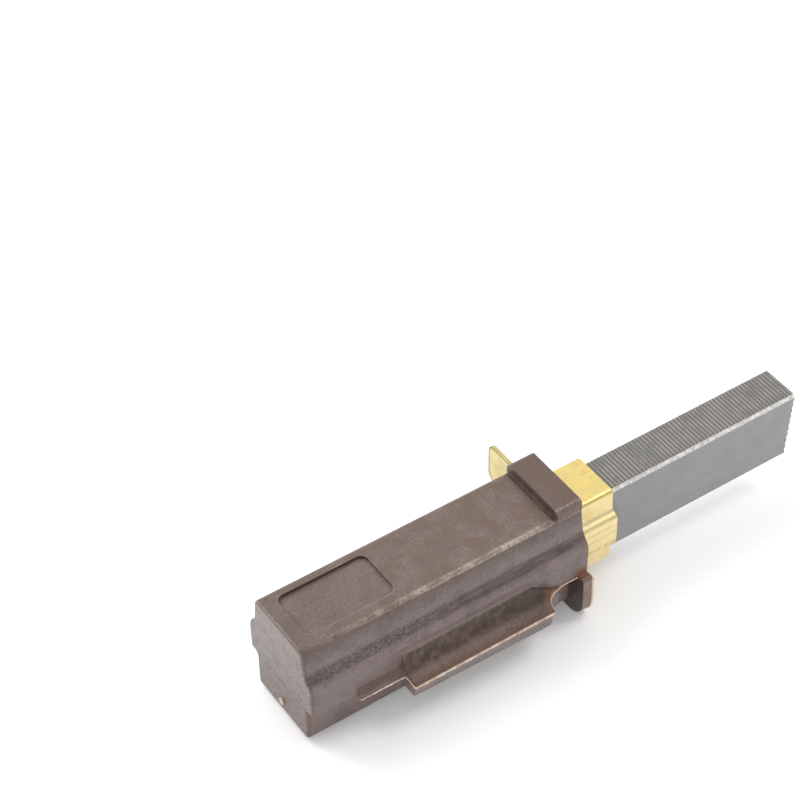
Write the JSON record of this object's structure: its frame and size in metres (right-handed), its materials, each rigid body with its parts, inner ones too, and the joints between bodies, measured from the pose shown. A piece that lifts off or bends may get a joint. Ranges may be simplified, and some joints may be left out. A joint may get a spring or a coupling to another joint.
{
  "type": "carbon brush holder",
  "caption": "Moulded brush holder with a folded brass guide, push-on terminal and a sprung, sliding rectangular carbon brush.",
  "frame": {"origin": "where the brush axis meets the plane of the seat, which is the rear face of the flange", "axes": "+X along the brush towards its contact tip, +Z out of the face with the bare recessed panel, +Y towards the side with the push-on terminal"},
  "size_m": [0.0783, 0.0247, 0.0187],
  "materials": {
    "moulding": "dull brown thermosetting plastic, fine grain",
    "brass": "rolled brass sheet, satin",
    "carbon": "pressed carbon, matt",
    "spring_steel": "drawn wire",
    "copper": "braided copper"
  },
  "bodies": {
    "holder": {"housing": "moulding", "guide_tube": "brass", "terminal_blade": "brass", "spring_seat": "brass", "brush_spring": "spring_steel", "shunt_wire": "copper"},
    "brush": {"carbon_brush": "carbon"}
  },
  "joints": [
    {"name": "brush_slide", "type": "slide", "parent": "holder", "child": "brush", "axis": [1, 0, 0], "range_m": [-0.024, 0], "stiffness_N_per_m": 100, "springref_m": 0.012, "deforming": ["brush_spring", "shunt_wire"]}
  ]
}
